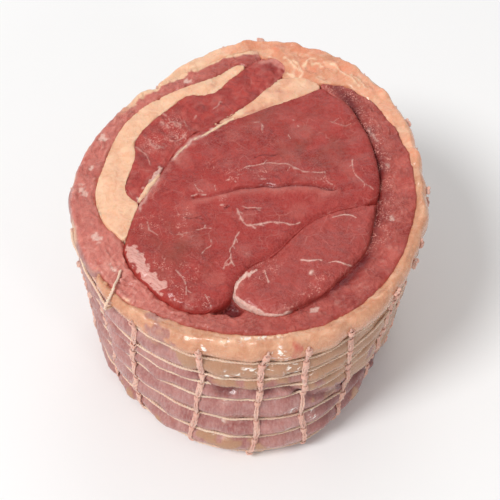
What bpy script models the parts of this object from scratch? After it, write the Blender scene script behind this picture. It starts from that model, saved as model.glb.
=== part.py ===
"""Raw rolled beef joint in elastic butcher's netting, standing on one cut end.

Metres, +Z up. The origin is on the floor under the middle of the joint, and -Y is the front.
The muscles and the fat between them run the whole height, like the layers of a rolled joint.
Bearings are degrees about +Z: 0 is the right (+X), 90 the back, 180 the left, 270 the front.
"""

import math

import bmesh
import bpy
from mathutils import Vector

MM = 0.001

# Whole joint
MIDDLE_HEIGHT = 87 * MM
RISE_TO_BACK = 0.115
RISE_TO_RIGHT = 0.02
GAP = 0.3 * MM
RIM_RADII = [r * MM for r in (69.3, 72.5, 77.0, 76.8, 66.8, 66.0, 70.0, 71.7, 74.8, 75.6, 76.4, 73.8)]
BASE_SHARE = [(0, 0.93), (50, 0.96), (130, 0.96), (180, 0.94), (235, 0.93), (252, 0.98), (272, 1.01),
              (288, 0.98), (300, 0.92), (313, 0.85), (328, 0.82), (345, 0.86)]
LOWER_EDGE = 5 * MM
RIM_EDGE = 2 * MM

# Netting: elastic rings in grooves, and knitted chains over the bulges
SEEN_CHAINS = [216, 232, 254.5, 273, 287, 301, 319]
HIDDEN_CHAINS = 13
CHAIN_HALF_WIDTH = 1.5 * MM
RING_LEVELS = [(0.075, 0.02), (0.215, 0.05), (0.365, 0.0), (0.545, 0.05), (0.645, 0.0),
               (0.737, 0.015), (0.865, -0.05)]
RING_HALF_WIDTH = 0.5 * MM
GROOVE = 1.2 * MM
BULGE = 1.0 * MM
PINCH = 0.5 * MM
NET_THICKNESS = 1.1 * MM
RING_CLEARANCE = 0.8 * MM
CHAIN_CLEARANCE = 0.5 * MM
NET_FOOT = 3.5 * MM
NET_FOOT_TUCK = 1.7 * MM
NET_TOP = 1.5 * MM

# Outer fat: its depth round the rim, over one arc, and the thin skin that it becomes lower down
FAT_DEPTH = [(216, 1.9), (232, 2.2), (246, 5.6), (262, 5.2), (286, 4.4), (320, 4.0), (338, 4.5),
             (352, 2.2), (363, 2.6), (380, 4.8), (397, 8.0), (408, 10.0), (418, 13.5), (425, 28.0),
             (438, 28.0), (444, 6.0), (459, 5.8), (468, 5.2), (476, 3.2), (488, 2.0), (493, 1.9)]
SKIN_DEPTH = 2.0 * MM
CAP_FROM, CAP_TO = 365, 485
TIPS_FROM, TIPS_TO = 405, 450
TIP_GAP = 0.9 * MM
FAT_GAP = 0.5 * MM
WRAP_FACE_STEP = 8 * MM
WELL_RADIUS = 30 * MM

# Inner pieces: how far they narrow downwards, and where neighbours meet, in millimetres
CORE_TAPER = 0.12
BACK_RIGHT = (31.0, 48.5)
WEDGE_TIP = (-15.0, 28.8)
SEAM_NICK = (-43.3, -11.0)
SEAM_FOOT = (-47.9, -28.8)
POCKET = (-5.6, -55.2)
RIGHT_NICK = (51.3, -11.6)
SEAM_HEAD = (-0.3, 60.8)
WEDGE_HEAD = (13.9, 54.0)
SEAMS = {
    "core_wedge": [BACK_RIGHT, (23.4, 44.4), (9.4, 38.6), (-3.1, 32.8), WEDGE_TIP],
    "core_inner": [WEDGE_TIP, (-23.7, 23.0), (-29.6, 15.2), (-36.0, 2.5), SEAM_NICK],
    "core_fat": [SEAM_NICK, (-45.6, -19.0), SEAM_FOOT],
    "core_front": [SEAM_FOOT, (-48.0, -34.6), (-44.2, -42.9), (-37.8, -50.1), (-31.8, -56.4),
                   (-25.4, -60.4), (-18.2, -62.2), (-10.5, -59.7), POCKET],
    "core_flap": [POCKET, (-4.3, -49.7), (3.3, -41.3), (10.6, -37.3), (22.4, -24.0), (34.3, -17.0),
                  (43.0, -15.0), RIGHT_NICK],
    "core_right": [RIGHT_NICK, (52.8, -3.1), (52.2, 7.0), (49.7, 20.0), (45.4, 30.8), (40.1, 41.8),
                   BACK_RIGHT],
    "flap_front": [POCKET, (-0.8, -59.9), (5.5, -63.0), (13.2, -63.3), (24.1, -56.8), (30.8, -52.0),
                   (39.3, -42.8), (46.3, -33.8), (49.8, -19.7), RIGHT_NICK],
    "inner_wedge": [WEDGE_TIP, (-4.4, 36.1), (2.3, 41.5), (6.9, 46.9), WEDGE_HEAD],
    "inner_back": [WEDGE_HEAD, (16.2, 60.0), (11.0, 65.8), (5.3, 64.7), SEAM_HEAD],
    "wedge_back": [WEDGE_HEAD, (22.3, 54.0), (27.8, 52.0), BACK_RIGHT],
    "fat_inner": [SEAM_HEAD, (-9.6, 51.8), (-14.5, 46.0), (-25.6, 44.8), (-35.0, 36.7), (-46.0, 22.5),
                  (-45.8, 12.0), (-49.2, 0.0), (-47.5, -7.5), SEAM_NICK],
    "fat_back": [SEAM_HEAD, (-5.0, 61.5), (-13.9, 55.3), (-30.4, 47.7), (-43.5, 39.0), (-53.0, 26.0),
                 (-58.5, 7.4), (-60.8, -6.0), (-56.5, -19.9), SEAM_FOOT],
}
CORE_LOOP = ["core_wedge", "core_inner", "core_fat", "core_front", "core_flap", "core_right"]
FLAP_LOOP = ["flap_front", "-core_flap"]
INNER_LOOP = ["inner_wedge", "inner_back", "fat_inner", "-core_inner"]
SEAM_LOOP = ["fat_back", "-core_fat", "-fat_inner"]
WEDGE_LOOP = ["core_wedge", "inner_wedge", "wedge_back"]
BUNDLE_LOOP = ["-wedge_back", "inner_back", "fat_back", "core_front", "flap_front", "core_right"]
STEPS_PER_SPAN = 3
CORE_RISE = 2.6 * MM
FLAP_RISE = 1.6 * MM
RISE_RUN = 22 * MM
SHOULDER_STEPS = [(1.0 * MM, 2.2 * MM), (1.8 * MM, 0.7 * MM)]
TOP_CELL = 9 * MM
CUTTER_OVERSHOOT = 12 * MM


def clear_scene():
    for item in list(bpy.data.objects):
        bpy.data.objects.remove(item, do_unlink=True)


def new_collection(name):
    made = bpy.data.collections.new(name)
    bpy.context.scene.collection.children.link(made)
    return made


def new_material(name, colour, roughness):
    made = bpy.data.materials.new(name)
    made.use_nodes = True
    shader = made.node_tree.nodes["Principled BSDF"]
    shader.inputs["Base Color"].default_value = (*colour, 1.0)
    shader.inputs["Roughness"].default_value = roughness
    shader.inputs["Metallic"].default_value = 0.0
    return made


def new_part(name, mesh, collection, material):
    part = bpy.data.objects.new(name, mesh)
    collection.objects.link(part)
    if material:
        mesh.materials.clear()
        mesh.materials.append(material)
    return part


def catmull(p0, p1, p2, p3, share):
    """A value on the smooth curve from p1 to p2."""
    a = 2 * p1
    b = p2 - p0
    c = 2 * p0 - 5 * p1 + 4 * p2 - p3
    d = 3 * p1 - p0 - 3 * p2 + p3
    return 0.5 * (a + b * share + c * share ** 2 + d * share ** 3)


def rim_radius(bearing):
    count = len(RIM_RADII)
    place = (bearing % 360) / 360 * count
    first = int(place)
    near = [RIM_RADII[(first + shift) % count] for shift in (-1, 0, 1, 2)]
    return catmull(*near, place - first)


def between(pairs, place):
    """The value at a place, by straight lines between (place, value) pairs."""
    for (start, low), (end, high) in zip(pairs, pairs[1:]):
        if start <= place <= end:
            return low + (high - low) * (place - start) / (end - start)
    return pairs[0][1] if place < pairs[0][0] else pairs[-1][1]


def top_height(x, y):
    return MIDDLE_HEIGHT + RISE_TO_RIGHT * x + RISE_TO_BACK * y


def at_bearing(radius, bearing, share=None, below_top=0.0):
    """A point at a radius and bearing, at a share of the height there or just below the top."""
    x = radius * math.cos(math.radians(bearing))
    y = radius * math.sin(math.radians(bearing))
    top = top_height(x, y)
    z = top - below_top if share is None else share * top
    return Vector((x, y, z))


def chain_bearings():
    gap = (SEEN_CHAINS[0] + 360 - SEEN_CHAINS[-1]) / (HIDDEN_CHAINS + 1)
    hidden = [SEEN_CHAINS[-1] + gap * (number + 1) for number in range(HIDDEN_CHAINS)]
    return SEEN_CHAINS + hidden


def column_bearings():
    """Three columns a chain: its two edges, and the middle of the bare stretch after it."""
    chains = chain_bearings()
    columns = []
    for here, following in zip(chains, chains[1:] + [chains[0] + 360]):
        half = math.degrees(CHAIN_HALF_WIDTH / rim_radius(here))
        columns += [here - half, here + half, (here + following) / 2]
    return columns


def ring_share(number, bearing):
    middle, lean = RING_LEVELS[number]
    return middle + lean * math.cos(math.radians(bearing))


COLUMNS = column_bearings()
RINGS = len(RING_LEVELS)
RIM_LEVEL = 2 * RINGS + 2
SHOULDER_LEVEL = RIM_LEVEL - 1


def level_share(level, bearing):
    """Share of the height at a level: the base, then ring and bulge in turn, then the rim."""
    if level == 0:
        return 0.0
    ring = (level - 1) // 2
    lower = ring_share(ring, bearing)
    if level % 2 == 1:
        return lower
    upper = ring_share(ring + 1, bearing) if ring + 1 < RINGS else 1.0
    return (lower + upper) / 2


def smooth_radius(bearing, share):
    """Radius of the side without its grooves and bulges."""
    base = between(BASE_SHARE + [(360, BASE_SHARE[0][1])], bearing % 360)
    return rim_radius(bearing) * (base + (1 - base) * share)


def side_radius(column, level):
    """Radius of the side: pulled in at the rings, and pinched a little under the chains."""
    bearing = COLUMNS[column]
    share = level_share(level, bearing) if level < SHOULDER_LEVEL else 1.0
    radius = smooth_radius(bearing, share)
    if level == 0:
        return radius - LOWER_EDGE
    if level == RIM_LEVEL:
        return radius - RIM_EDGE
    if level == SHOULDER_LEVEL:
        return radius
    if level % 2 == 1:
        return radius - GROOVE
    return radius + BULGE - (0 if column % 3 == 2 else PINCH)


def side_point(column, level, radius):
    bearing = COLUMNS[column]
    if level == RIM_LEVEL:
        return at_bearing(radius, bearing)
    if level == SHOULDER_LEVEL:
        return at_bearing(radius, bearing, below_top=RIM_EDGE)
    return at_bearing(radius, bearing, share=level_share(level, bearing))


def fat_bearing(bearing):
    """The bearing counted on past 360, so that the fat's arc is one run."""
    return bearing % 360 if bearing % 360 >= FAT_DEPTH[0][0] - 1 else bearing % 360 + 360


def under_fat(column):
    return FAT_DEPTH[0][0] - 1 <= fat_bearing(COLUMNS[column]) <= FAT_DEPTH[-1][0]


THICK_LEVEL = 2 * RINGS - 4
THIN_LEVEL = THICK_LEVEL - 2


def fat_inner_radius(column, level):
    """Radius where the fat meets the muscle: deep at the top, a thin skin lower at the front."""
    bearing = COLUMNS[column]
    place = fat_bearing(bearing)
    top_depth = between(FAT_DEPTH, place) * MM
    low_depth = top_depth if CAP_FROM <= place <= CAP_TO else min(SKIN_DEPTH, top_depth)
    share = 1.0 if level >= SHOULDER_LEVEL else level_share(level, bearing)
    upper = level_share(THICK_LEVEL, bearing)
    lower = level_share(THIN_LEVEL, bearing)
    part = min(max((share - lower) / (upper - lower), 0), 1)
    radius = smooth_radius(bearing, share) - low_depth - (top_depth - low_depth) * part
    return radius - LOWER_EDGE if level == 0 else radius


def grid_part(name, across, along, place, closed_across, collection, material):
    """A grid of faces whose points go where place says, its seams welded and its ends filled."""
    bpy.ops.mesh.primitive_grid_add(x_subdivisions=across, y_subdivisions=along, size=1)
    part = bpy.context.object
    part.name = name
    bm = bmesh.new()
    bm.from_mesh(part.data)
    for vert in bm.verts:
        step = round((vert.co.x + 0.5) * across)
        turn = round((vert.co.y + 0.5) * along)
        vert.co = place(step % across if closed_across else step, turn)
    bmesh.ops.remove_doubles(bm, verts=bm.verts, dist=0.00001)
    bmesh.ops.holes_fill(bm, edges=[edge for edge in bm.edges if edge.is_boundary], sides=0)
    bmesh.ops.recalc_face_normals(bm, faces=bm.faces)
    bm.to_mesh(part.data)
    bm.free()
    for holder in list(part.users_collection):
        holder.objects.unlink(part)
    collection.objects.link(part)
    part.data.materials.append(material)
    return part


def make_room(part, cutter):
    """Take the bundle's room out of a part."""
    cut = part.modifiers.new("bundle", "BOOLEAN")
    cut.operation = "DIFFERENCE"
    cut.solver = "EXACT"
    cut.object = cutter


def make_wrap(collection, cutter):
    """The long muscle rolled round the bundle, from base to rim, with flat cut ends."""

    def place(column, turn):
        if turn == 0:
            return at_bearing(WELL_RADIUS, COLUMNS[column], share=0.0)
        level = turn - 1
        radius = side_radius(column, min(level, RIM_LEVEL))
        if under_fat(column):
            steep = TIPS_FROM <= fat_bearing(COLUMNS[column]) <= TIPS_TO
            radius = fat_inner_radius(column, min(level, RIM_LEVEL)) - (TIP_GAP if steep else FAT_GAP)
        if level <= RIM_LEVEL:
            return side_point(column, level, radius)
        inner = radius - WRAP_FACE_STEP if level == RIM_LEVEL + 1 else WELL_RADIUS
        return at_bearing(inner, COLUMNS[column])

    turns = RIM_LEVEL + 3
    wrap = grid_part("wrap_muscle", len(COLUMNS), turns, place, True, collection,
                     new_material("raw_wrap", (0.42, 0.09, 0.075), 0.45))
    make_room(wrap, cutter)
    return wrap


def make_fat_cover(collection, cutter):
    """The outer fat: one section a column, run round its arc, thick where the cap is."""
    covered = [column for column in range(len(COLUMNS)) if under_fat(column)]
    covered.sort(key=lambda column: fat_bearing(COLUMNS[column]))
    outer_levels = list(range(RIM_LEVEL + 1))
    inner_levels = [RIM_LEVEL, THICK_LEVEL, THIN_LEVEL, 4, 1, 0]
    section = [(level, False) for level in outer_levels] + [(level, True) for level in inner_levels]

    def place(step, turn):
        column = covered[step]
        level, inside = section[turn % len(section)]
        radius = fat_inner_radius(column, level) if inside else side_radius(column, level)
        return side_point(column, level, radius)

    cover = grid_part("fat_cover", len(covered) - 1, len(section), place, False, collection,
                      new_material("outer_fat", (0.78, 0.50, 0.32), 0.4))
    make_room(cover, cutter)
    return cover


def smooth_seam(name):
    """The points of a seam on a smooth curve through its corners, without the last one."""
    backwards = name.startswith("-")
    corners = [Vector(corner) * MM for corner in SEAMS[name.lstrip("-")]]
    guarded = [corners[0] * 2 - corners[1], *corners, corners[-1] * 2 - corners[-2]]
    points = []
    for number in range(len(corners) - 1):
        near = guarded[number:number + 4]
        points += [catmull(*near, step / STEPS_PER_SPAN) for step in range(STEPS_PER_SPAN)]
    points.append(corners[-1])
    if backwards:
        points.reverse()
    return points[:-1]


def outline(loop):
    """One closed anticlockwise outline from named seams."""
    points = [point for name in loop for point in smooth_seam(name)]
    area = sum(a.x * b.y - b.x * a.y for a, b in zip(points, points[1:] + points[:1]))
    if area < 0:
        points.reverse()
    return points


def offset(points, distance):
    """An anticlockwise outline moved outwards by a distance, or inwards where it is negative."""
    moved = []
    for number, point in enumerate(points):
        before = (point - points[number - 1]).normalized()
        after = (points[(number + 1) % len(points)] - point).normalized()
        normal = Vector((before.y + after.y, -before.x - after.x)).normalized()
        along = max(normal.dot(Vector((after.y, -after.x))), 0.2)
        moved.append(point + normal * (distance / along))
    return moved


def prism(name, points, low, high):
    """A flat outline with thickness, as a mesh with one face at each end."""
    flat = bpy.data.curves.new(name + "_outline", "CURVE")
    flat.dimensions = "2D"
    flat.fill_mode = "BOTH"
    flat.extrude = (high - low) / 2
    line = flat.splines.new("POLY")
    line.points.add(len(points) - 1)
    for spot, point in zip(line.points, points):
        spot.co = (point.x, point.y, 0, 1)
    line.use_cyclic_u = True
    holder = bpy.data.objects.new(name + "_outline", flat)
    bpy.context.scene.collection.objects.link(holder)
    holder.location.z = (low + high) / 2
    bpy.context.view_layer.update()
    mesh = bpy.data.meshes.new_from_object(holder.evaluated_get(bpy.context.evaluated_depsgraph_get()))
    mesh.name = name
    mesh.transform(holder.matrix_world)
    bpy.data.objects.remove(holder)
    bpy.data.curves.remove(flat)
    bm = bmesh.new()
    bm.from_mesh(mesh)
    bmesh.ops.remove_doubles(bm, verts=bm.verts, dist=0.000001)
    flat_edges = [edge for edge in bm.edges if all(abs(face.normal.z) > 0.9 for face in edge.link_faces)]
    bmesh.ops.dissolve_edges(bm, edges=flat_edges, use_verts=False)
    bmesh.ops.recalc_face_normals(bm, faces=bm.faces)
    bm.to_mesh(mesh)
    bm.free()
    return mesh


def leaned(point):
    """A point drawn in towards the axis by its height, so that the bundle narrows downwards."""
    share = 1 - CORE_TAPER * (1 - point.z / MIDDLE_HEIGHT)
    return Vector((point.x * share, point.y * share, point.z))


def make_bundle_cutter(collection):
    """The room of the whole bundle, through the top and the base."""
    points = offset(outline(BUNDLE_LOOP), GAP / 2)
    mesh = prism("bundle_room", points, -CUTTER_OVERSHOOT, 2 * MIDDLE_HEIGHT)
    for vert in mesh.vertices:
        vert.co = leaned(vert.co)
    cutter = new_part("bundle_room", mesh, collection, None)
    cutter.hide_render = True
    cutter.display_type = "WIRE"
    return cutter


def rise_at(x, y, rise):
    """How far a muscle stands proud: nothing along the fat behind it, more to the front right."""
    start, end = Vector(SEAM_NICK) * MM, Vector(BACK_RIGHT) * MM
    along = (end - start).normalized()
    away = Vector((x, y)) - start
    distance = away.x * along.y - away.y * along.x
    share = min(max(distance / RISE_RUN, 0), 1)
    return rise * share * share * (3 - 2 * share)


def make_column(name, loop, rise, shoulders, collection, material):
    """A piece of the bundle: its outline run up to a top that follows the joint's tilted face."""
    mesh = prism(name, offset(outline(loop), -GAP / 2), 0.0, MIDDLE_HEIGHT)
    bm = bmesh.new()
    bm.from_mesh(mesh)
    top = max(bm.faces, key=lambda face: face.calc_center_median().z)
    drops = {vert: shoulders[0][1] if shoulders else 0.0 for vert in top.verts}
    for number, (inset, drop) in enumerate(shoulders):
        bmesh.ops.inset_individual(bm, faces=[top], thickness=inset, use_even_offset=True)
        next_drop = shoulders[number + 1][1] if number + 1 < len(shoulders) else 0.0
        drops.update({vert: next_drop for vert in top.verts})
    reach = max(max(abs(vert.co.x), abs(vert.co.y)) for vert in top.verts)
    patch = {top}
    for axis in (Vector((1, 0, 0)), Vector((0, 1, 0))):
        place = -reach + TOP_CELL / 2
        while place < reach:
            geometry = list({part for face in patch for part in (face, *face.verts, *face.edges)})
            bmesh.ops.bisect_plane(bm, geom=geometry, plane_co=axis * place, plane_no=axis)
            patch = {face for face in bm.faces if face.is_valid and face.normal.z > 0.9
                     and all(drops.get(vert, 0.0) == 0.0 for vert in face.verts)}
            place += TOP_CELL
    for vert in bm.verts:
        if vert.co.z > MIDDLE_HEIGHT / 2:
            x, y = vert.co.x, vert.co.y
            vert.co.z = top_height(x, y) + rise_at(x, y, rise) - drops.get(vert, 0.0)
        vert.co = leaned(vert.co)
    bmesh.ops.triangulate(bm, faces=[face for face in bm.faces if face.normal.z > 0.5])
    bmesh.ops.recalc_face_normals(bm, faces=bm.faces)
    bm.to_mesh(mesh)
    bm.free()
    return new_part(name, mesh, collection, material)


def net_levels():
    """The net's heights from foot to top: ring edges, with one level between two rings."""
    levels = [("foot", 0)]
    for ring in range(RINGS):
        levels += [("under", ring), ("over", ring), ("between", ring)]
    levels.append(("top", 0))
    return levels


def make_net(collection):
    """The netting as one band work: strips along the rings and chains, thickened outwards."""
    levels = net_levels()

    def place(column, turn):
        kind, ring = levels[turn]
        bearing = COLUMNS[column]
        if kind == "foot":
            radius = smooth_radius(bearing, 0.0) - NET_FOOT_TUCK + CHAIN_CLEARANCE
            spot = at_bearing(radius, bearing)
            spot.z = NET_FOOT
            return spot
        if kind == "top":
            return at_bearing(smooth_radius(bearing, 1.0) + CHAIN_CLEARANCE, bearing, below_top=NET_TOP)
        level = 2 * ring + 1
        if kind == "between":
            return side_point(column, level + 1, side_radius(column, level + 1) + CHAIN_CLEARANCE)
        spot = side_point(column, level, side_radius(column, level) + RING_CLEARANCE)
        spot.z += RING_HALF_WIDTH if kind == "over" else -RING_HALF_WIDTH
        return spot

    bpy.ops.mesh.primitive_grid_add(x_subdivisions=len(COLUMNS), y_subdivisions=len(levels) - 1, size=1)
    net = bpy.context.object
    net.name = "netting"
    bm = bmesh.new()
    bm.from_mesh(net.data)
    spots = {}
    for vert in bm.verts:
        column = round((vert.co.x + 0.5) * len(COLUMNS)) % len(COLUMNS)
        turn = round((vert.co.y + 0.5) * (len(levels) - 1))
        spots[vert] = (column, turn)
    open_cells = []
    for face in bm.faces:
        columns = {spots[vert][0] for vert in face.verts}
        turns = {spots[vert][1] for vert in face.verts}
        on_chain = all(column % 3 != 2 for column in columns)
        on_ring = {levels[turn][0] for turn in turns} == {"under", "over"}
        if not on_chain and not on_ring:
            open_cells.append(face)
    for vert, (column, turn) in spots.items():
        vert.co = place(column, turn)
    bmesh.ops.delete(bm, geom=open_cells, context="FACES")
    bmesh.ops.remove_doubles(bm, verts=bm.verts, dist=0.00001)
    bmesh.ops.recalc_face_normals(bm, faces=bm.faces)
    bm.to_mesh(net.data)
    bm.free()
    for holder in list(net.users_collection):
        holder.objects.unlink(net)
    collection.objects.link(net)
    net.data.materials.append(new_material("elastic_net", (0.80, 0.66, 0.58), 0.75))
    wall = net.modifiers.new("thickness", "SOLIDIFY")
    wall.thickness = NET_THICKNESS
    wall.offset = 1.0
    return net


def build():
    clear_scene()
    joint = new_collection("beef_joint")
    cutters = new_collection("cutters")
    bundle_room = make_bundle_cutter(cutters)
    lean_meat = new_material("raw_lean", (0.36, 0.055, 0.045), 0.35)
    pale_meat = new_material("raw_inner", (0.40, 0.075, 0.06), 0.4)
    seam_fat = new_material("seam_fat", (0.83, 0.58, 0.38), 0.4)
    make_column("core_muscle", CORE_LOOP, CORE_RISE, SHOULDER_STEPS, joint, lean_meat)
    make_column("flap_muscle", FLAP_LOOP, FLAP_RISE, SHOULDER_STEPS, joint, lean_meat)
    make_column("inner_muscle", INNER_LOOP, 0.0, [], joint, pale_meat)
    make_column("fat_seam", SEAM_LOOP, 0.0, [], joint, seam_fat)
    make_column("fat_wedge", WEDGE_LOOP, 0.0, [], joint, seam_fat)
    make_wrap(joint, bundle_room)
    make_fat_cover(joint, bundle_room)
    make_net(joint)


build()
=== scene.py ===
import math

import bpy
import numpy as np
from mathutils import Matrix, Vector
from mathutils.bvhtree import BVHTree


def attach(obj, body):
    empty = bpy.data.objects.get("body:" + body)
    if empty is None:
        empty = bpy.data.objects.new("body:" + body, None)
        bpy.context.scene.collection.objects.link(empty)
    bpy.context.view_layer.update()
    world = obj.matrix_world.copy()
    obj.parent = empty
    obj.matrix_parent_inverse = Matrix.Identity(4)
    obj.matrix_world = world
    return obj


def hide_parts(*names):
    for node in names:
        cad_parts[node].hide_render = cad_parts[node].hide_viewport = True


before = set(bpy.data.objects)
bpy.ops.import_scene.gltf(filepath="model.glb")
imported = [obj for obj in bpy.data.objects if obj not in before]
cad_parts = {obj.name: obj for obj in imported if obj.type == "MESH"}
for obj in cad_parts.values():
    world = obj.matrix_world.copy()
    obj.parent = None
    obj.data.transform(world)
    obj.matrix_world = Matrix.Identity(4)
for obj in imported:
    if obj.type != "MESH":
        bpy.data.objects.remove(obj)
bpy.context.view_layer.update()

# A raw rolled joint of beef in elastic netting, standing on one cut end. Metres, +Z up, the
# front towards -Y. Bearings are degrees about +Z: 0 is the right, 90 the back, 270 the front.
bpy.ops.object.select_all(action="DESELECT")
MM = 0.001

# Core: the large lean muscle in the middle of the joint, cut across its grain. It stands a
# little proud of the roll round it. A long furrow crosses it, and thin veins of fat branch in it.
# Lines and spots on the cut face are in millimetres, and each vein starts with its half width.
MIDDLE_HEIGHT = 87 * MM
RISE_TO_RIGHT = 0.02
RISE_TO_BACK = 0.115
FLOOR_GAP = 0.02 * MM
SWELL = 0.34 * MM
RIPPLE_WAVES = 26
FURROW = [(-21, -9.4), (-13, -8), (-6.1, -6.5), (6.6, -4.5), (20.8, -5), (34.2, -6.5)]
CORE_CREASE = [(10.7, 25.6), (19.6, 31.2), (28.8, 39.8)]
CORE_VEINS = [
    (0.26, [(-4, -16.7), (-2.1, -23.1), (3.1, -24.3), (7.8, -22.7), (16.3, -23.7), (20.4, -22.9)]),
    (0.21, [(-3.4, -27.1), (-5.3, -32.7), (-6.6, -38.8), (-5.4, -43.2)]),
    (0.17, [(-6.6, -38.8), (-9.3, -44.3)]), (0.17, [(-14.1, -30.3), (-14.3, -33.7), (-17.3, -37)]),
    (0.14, [(-19.4, -25.4), (-13.8, -25.8)]), (0.14, [(-27.3, -27.8), (-22.6, -27.9)]),
    (0.16, [(-38.8, -21.3), (-38.2, -25.4), (-34.7, -28)]),
    (0.16, [(-26.7, -44), (-23.3, -50), (-22.2, -55.8)]), (0.15, [(-15.9, -54.9), (-12.7, -60.2)]),
    (0.19, [(-2.4, 3), (2.2, 6.1), (14.8, 6.3), (19, 2.5)]),
    (0.16, [(19, 2.5), (22.1, 1.1), (30.7, 0.6), (31.6, -3.1), (33.1, -4.5)]),
    (0.16, [(42.2, 8.2), (42.5, 2.1), (43.4, -1.3), (48.9, -7.4)]),
    (0.16, [(1.8, 30.1), (5.1, 29.7), (6.3, 24.3)]), (0.12, [(34.4, 28), (38.7, 25.1), (42.1, 26.4)]),
    (0.16, [(16.7, 21.2), (17.5, 19.1)]), (0.26, [(-10.2, -14.2), (-9.2, -14.8)]),
    (0.16, [(-1.6, -15.2), (0.4, -15.9), (5.5, -16.3)]), (0.16, [(-20.9, -2.7), (-18.9, -7)]),
    (0.15, [(-12.7, -3.5), (-12.2, -6.5)]), (0.16, [(-21.7, -8.7), (-18.9, -7.9), (-16.5, -7.3)]),
    (0.21, [(-8.3, -1.2), (-7.6, -1.6)]), (0.19, [(-4.8, -2.6), (-4.3, -2.8)]),
    (0.19, [(5.6, -1), (7, -1.1)]), (0.19, [(19.1, 30.8), (19.5, 30.4)]),
    (0.17, [(20.9, 26.5), (21.2, 26.1)]),
]
# A painted highlight: the pale glare of the light on the moist cut face at the core's left, drawn as a broad
# line.
CORE_SHEEN = [(3, [(-44.2, -35), (-41.2, -40.4), (-37.4, -46.4), (-33.8, -51.4)])]
CORE_PALE = [
    (1.8, [(-43.5, -14), (-37, -2), (-30, 10.5), (-22.5, 19.5)]), (1.3, [(-21.5, -57.8), (-20.6, -56.8)]),
]
# A thin pale line along the core's rounded front edge is a painted highlight.
CORE_FRONT_HIGHLIGHT = [(-25, -60), (-17.5, -61.6), (-12, -60.8), (-7.8, -57.8), (-6.3, -55.6)]
CORE_BROWN = [(15, -28, -36), (17, 26, 18), (9, 4, 34)]
# Patches of painted glint specks, tiny pale dots for small glints, each a size and a spot.
CORE_GLINT_SPECKS = [
    (6, -38.9, -22.4), (4, -24.4, -17.3), (4, -26.3, -25.9), (3, -10.8, -12.9), (4, -5, 1), (4, 6.8, 2),
    (3, -14.5, 6.6), (5, -22.9, -45), (5, -26, -54), (3, -16.3, -59.9), (5, -33, -42), (4, 30, -3),
]
SLIVER_FAT = [(-42.4, -14), (-41.2, -10), (-39, -4.8), (-35.4, 1.4)]
INNER_SEAM_FAT = [(-5.7, 32.5), (-11, 29), (-16.1, 25.1), (-22.8, 20.5), (-30, 12.4)]
CORE_BACK_SEAM = [
    (-46.6, -22), (-43.3, -11), (-36, 2.5), (-29.6, 15.2), (-23.7, 23), (-15, 28.8), (-3.1, 32.8),
    (9.4, 38.6), (23.4, 44.4), (30, 48),
]
CORE_NICKS = [
    (0.45, [(-9, -15.4), (-7.4, -15)]), (0.3, [(-1, -16.6), (5.8, -17.4)]),
    (0.35, [(-24, -19.4), (-18.5, -19.6)]), (0.25, [(-20, -20.4), (-17, -21.4)]),
    (0.3, [(3, 10.5), (12, 11)]),
]
FLAP_SEAM = [(-2.5, -47.5), (3.3, -41.3), (10.6, -37.3), (22.4, -24), (34.3, -17), (43, -15)]


def top_height(x, y):
    """Height of the joint's tilted cut face."""
    return MIDDLE_HEIGHT + RISE_TO_RIGHT * x + RISE_TO_BACK * y


def points_of(piece):
    spots = np.empty(len(piece.data.vertices) * 3)
    piece.data.vertices.foreach_get("co", spots)
    return spots.reshape(-1, 3)


def normals_of(piece):
    ways = np.empty(len(piece.data.vertices) * 3)
    piece.data.vertex_normals.foreach_get("vector", ways)
    return ways.reshape(-1, 3)


def set_points(piece, spots):
    """Move a piece's points, none of them through the floor."""
    spots[:, 2] = np.maximum(spots[:, 2], FLOOR_GAP)
    piece.data.vertices.foreach_set("co", spots.ravel())
    piece.data.update()


def paint(piece, **marks):
    """Keep each mark's strength at each point, for the piece's material to read."""
    for name, strengths in marks.items():
        layer = piece.data.attributes.new(name, "FLOAT", "POINT")
        layer.data.foreach_set("value", np.clip(strengths, 0, 1))


def ripples(spots, size, seed, stretch=(1, 1, 1)):
    """Soft bumps of about a size in millimetres, from about -1 to 1, the same on every run."""
    draw = np.random.default_rng(seed)
    total = np.zeros(len(spots))
    for _ in range(RIPPLE_WAVES):
        way = draw.normal(size=3)
        way /= np.linalg.norm(way)
        turns = math.tau / (size * MM * draw.uniform(0.75, 1.7))
        total += np.sin((spots * stretch) @ way * turns + draw.uniform(0, math.tau))
    return total / math.sqrt(RIPPLE_WAVES)


def eased(value, low, high):
    """A smooth rise from 0 at a low value to 1 at a high one."""
    share = np.clip((value - low) / (high - low), 0, 1)
    return share * share * (3 - 2 * share)


def band(value, low, full, fading, high):
    """1 in the middle of a run of values, with a smooth rise and fall at its ends."""
    return eased(value, low, full) * (1 - eased(value, fading, high))


def bell(gap, width):
    """1 where a gap is nothing, falling off within a width in millimetres."""
    return np.exp(-(gap / (width * MM)) ** 2)


def away_from(spots, line):
    """Each point's distance, seen from above, from a line through spots in millimetres."""
    line = np.array(line) * MM
    nearest = np.full(len(spots), 1.0)
    for start, end in zip(line, line[1:]):
        along = end - start
        share = np.clip((spots[:, :2] - start) @ along / (along @ along), 0, 1)
        gap = np.linalg.norm(spots[:, :2] - start - share[:, None] * along, axis=1)
        nearest = np.minimum(nearest, gap)
    return nearest


def curved(path, steps):
    """More points on a smooth curve through a path's points."""
    path = [path[0] * 2 - path[1], *path, path[-1] * 2 - path[-2]]
    points = []
    for p0, p1, p2, p3 in zip(path, path[1:], path[2:], path[3:]):
        for step in range(steps):
            t = step / steps
            points.append(0.5 * (2 * p1 + (p2 - p0) * t + (2 * p0 - 5 * p1 + 4 * p2 - p3) * t ** 2
                                 + (p1 * 3 - p0 - p2 * 3 + p3) * t ** 3))
    return points + [path[-2]]


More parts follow.
